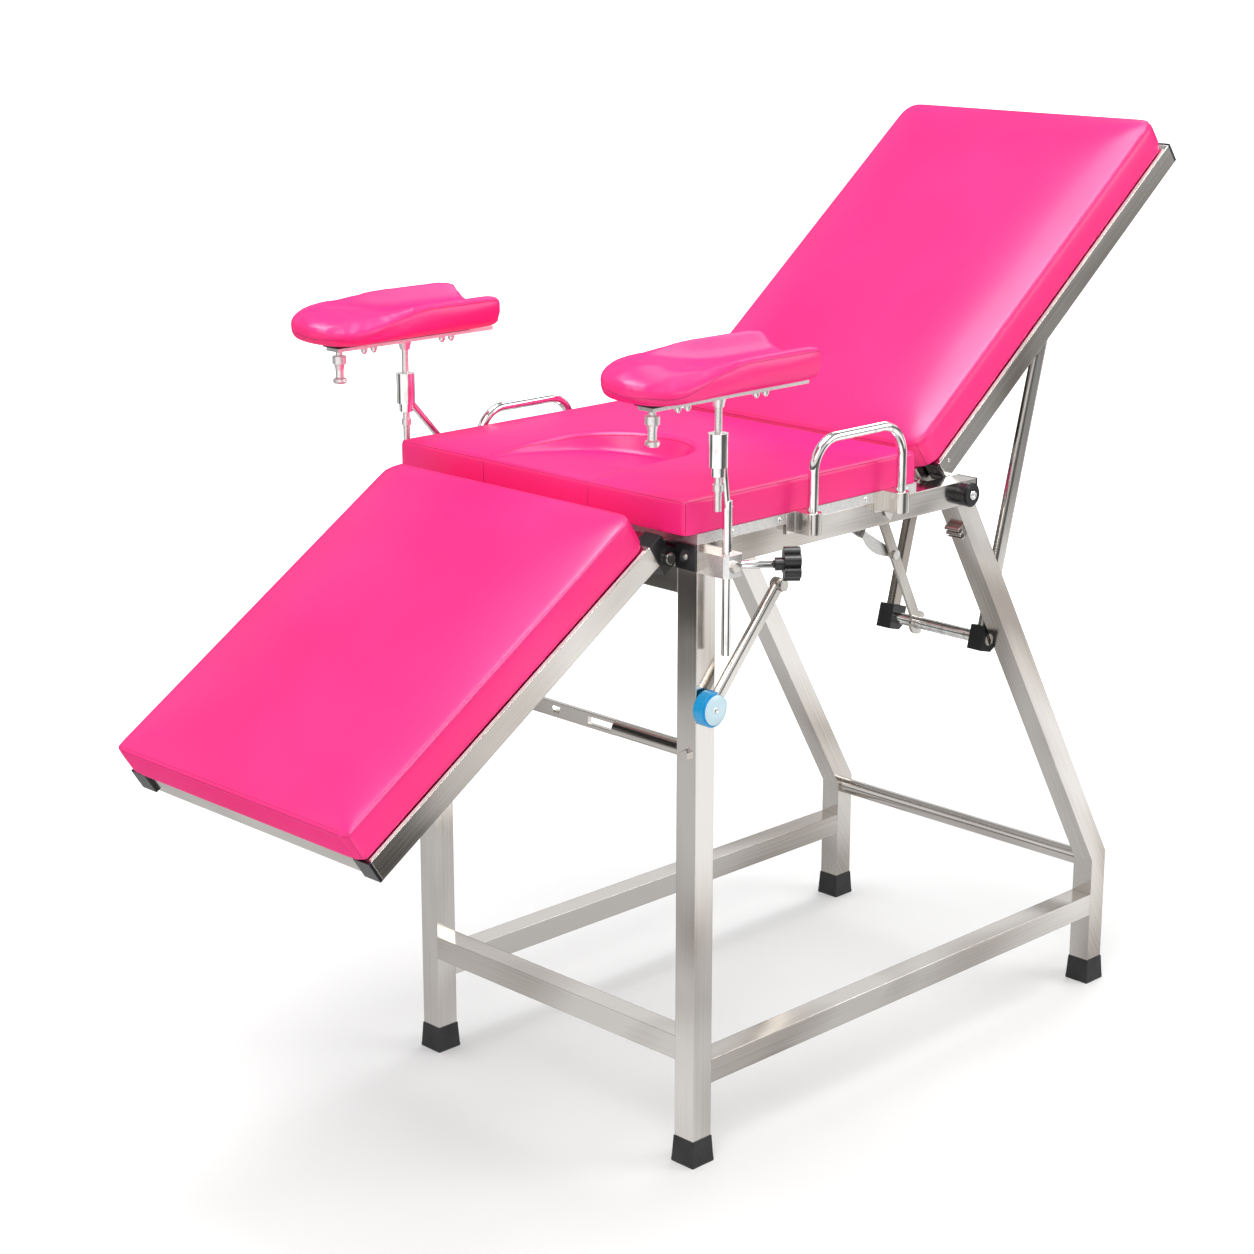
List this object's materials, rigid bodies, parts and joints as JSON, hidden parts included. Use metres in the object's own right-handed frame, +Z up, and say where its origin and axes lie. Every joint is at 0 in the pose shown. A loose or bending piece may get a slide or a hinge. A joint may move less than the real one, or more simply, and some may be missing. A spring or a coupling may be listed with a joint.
{
  "type": "gynaecological examination table",
  "caption": "Examination table with a recessed seat, raising backrest, dropping leg section, padded leg holders and handrails on a square tube steel frame",
  "frame": {"origin": "on the floor, under the middle of the table's length and width in the resting pose", "axes": "+X toward the head end, Y across the table, +Z up"},
  "size_m": [1.5044, 0.7088, 1.2421],
  "materials": {
    "polished_steel": "polished stainless steel",
    "dark_steel": "bright zinc plated",
    "aluminium_trim": "satin",
    "pink_vinyl": "glossy upholstery vinyl",
    "black_plastic": "moulded",
    "black_rubber": "matte",
    "white_board": "laminated board",
    "black_board": "painted board",
    "blue_plastic": "moulded"
  },
  "bodies": {
    "frame": {"front_leg_near": "polished_steel", "front_leg_far": "polished_steel", "rear_leg_near": "polished_steel", "rear_leg_far": "polished_steel", "side_rail_near": "polished_steel", "side_rail_far": "polished_steel", "front_low_rail": "polished_steel", "front_top_bar": "polished_steel", "slotted_cross_bar": "polished_steel", "rear_cross_tube": "polished_steel", "rubber_feet": "black_rubber", "seat_rail_near": "polished_steel", "seat_rail_far": "polished_steel", "seat_front_bar": "polished_steel", "seat_rear_bar": "polished_steel", "seat_board": "white_board", "seat_edge_strip": "aluminium_trim", "seat_cushion": "pink_vinyl", "rail_end_caps": "black_plastic", "hinge_shaft": "polished_steel", "hub_caps": "black_plastic", "handrail_sockets": "polished_steel", "post_clamp_near": "polished_steel", "post_clamp_far": "polished_steel", "spring_clip": "polished_steel", "arm_backing_disc": "black_plastic", "frame_bolts": "dark_steel"},
    "backrest": {"back_rail_near": "polished_steel", "back_rail_far": "polished_steel", "back_cross_bars": "polished_steel", "back_board": "black_board", "back_cushion": "pink_vinyl", "back_end_caps": "black_plastic", "prop_tubes": "polished_steel", "prop_blocks": "black_plastic", "prop_rod": "polished_steel", "stay_link": "polished_steel"},
    "stay_outer": {"stay_channel": "dark_steel"},
    "stay_inner": {"stay_blade": "polished_steel"},
    "leg_section": {"foot_rail_near": "polished_steel", "foot_rail_far": "polished_steel", "foot_cross_bars": "polished_steel", "foot_board": "black_board", "foot_cushion": "pink_vinyl", "foot_end_caps": "black_plastic", "foot_hook": "black_plastic"},
    "side_arm": {"ratchet_disc": "blue_plastic", "side_arm_tube": "polished_steel"},
    "holder_near": {"holder_post_near": "polished_steel"},
    "pad_near": {"pad_bar_near": "polished_steel", "gutter_pad_near": "pink_vinyl"},
    "grip_near": {"spindle_near": "dark_steel"},
    "clamp_knob_near": {"star_knob_near": "black_plastic"},
    "grab_rail_near": {"handrail_near": "polished_steel"},
    "holder_far": {"holder_post_far": "polished_steel"},
    "pad_far": {"pad_bar_far": "polished_steel", "gutter_pad_far": "pink_vinyl"},
    "grip_far": {"spindle_far": "dark_steel"},
    "clamp_knob_far": {"star_knob_far": "black_plastic"},
    "grab_rail_far": {"handrail_far": "polished_steel"}
  },
  "joints": [
    {"name": "backrest_hinge", "type": "hinge", "parent": "frame", "child": "backrest", "pos_m": [0.24907, 0, 0.793], "axis": [0, -1, 0], "range_deg": [-38, 37]},
    {"name": "stay_channel_pivot", "type": "hinge", "parent": "frame", "child": "stay_outer", "pos_m": [0.11206, -0.0919, 0.793], "axis": [0, -1, 0], "range_deg": [-19.2, 18.7]},
    {"name": "stay_blade_pivot", "type": "hinge", "parent": "backrest", "child": "stay_inner", "pos_m": [0.31126, -0.0919, 0.67093], "axis": [0, -1, 0], "range_deg": [-18.7, 19.2]},
    {"name": "leg_section_hinge", "type": "hinge", "parent": "frame", "child": "leg_section", "pos_m": [-0.26593, 0, 0.79], "axis": [0, 1, 0], "range_deg": [-57, 33]},
    {"name": "side_arm_pivot", "type": "hinge", "parent": "frame", "child": "side_arm", "pos_m": [-0.23894, -0.272, 0.607], "axis": [0, 1, 0], "range_deg": [0, 100]},
    {"name": "holder_slide_near", "type": "slide", "parent": "frame", "child": "holder_near", "axis": [0, 0, 1], "range_m": [-0.02, 0.09]},
    {"name": "pad_swivel_near", "type": "hinge", "parent": "holder_near", "child": "pad_near", "pos_m": [-0.23994, -0.282, 0.925], "axis": [0, 0, 1], "range_deg": [-60, 60]},
    {"name": "grip_turn_near", "type": "hinge", "parent": "pad_near", "child": "grip_near", "pos_m": [-0.34893, -0.282, 0.97], "axis": [0, 0, 1], "continuous": true},
    {"name": "clamp_knob_turn_near", "type": "hinge", "parent": "frame", "child": "clamp_knob_near", "pos_m": [-0.16571, -0.33352, 0.7845], "axis": [0.7431, -0.6691, 0], "continuous": true},
    {"name": "handrail_slide_near", "type": "slide", "parent": "frame", "child": "grab_rail_near", "axis": [0, 0, 1], "range_m": [0, 0.05]},
    {"name": "holder_slide_far", "type": "slide", "parent": "frame", "child": "holder_far", "axis": [0, 0, 1], "range_m": [-0.02, 0.09]},
    {"name": "pad_swivel_far", "type": "hinge", "parent": "holder_far", "child": "pad_far", "pos_m": [-0.23994, 0.282, 0.925], "axis": [0, 0, 1], "range_deg": [-60, 60]},
    {"name": "grip_turn_far", "type": "hinge", "parent": "pad_far", "child": "grip_far", "pos_m": [-0.34893, 0.282, 0.97], "axis": [0, 0, 1], "continuous": true},
    {"name": "clamp_knob_turn_far", "type": "hinge", "parent": "frame", "child": "clamp_knob_far", "pos_m": [-0.09771, 0.33352, 0.7845], "axis": [0.7431, 0.6691, 0], "continuous": true},
    {"name": "handrail_slide_far", "type": "slide", "parent": "frame", "child": "grab_rail_far", "axis": [0, 0, 1], "range_m": [0, 0.084]}
  ],
  "couplings": [
    {"joint": "stay_channel_pivot", "follows": "backrest_hinge", "ratio": 0.5},
    {"joint": "stay_blade_pivot", "follows": "backrest_hinge", "ratio": -0.5}
  ]
}
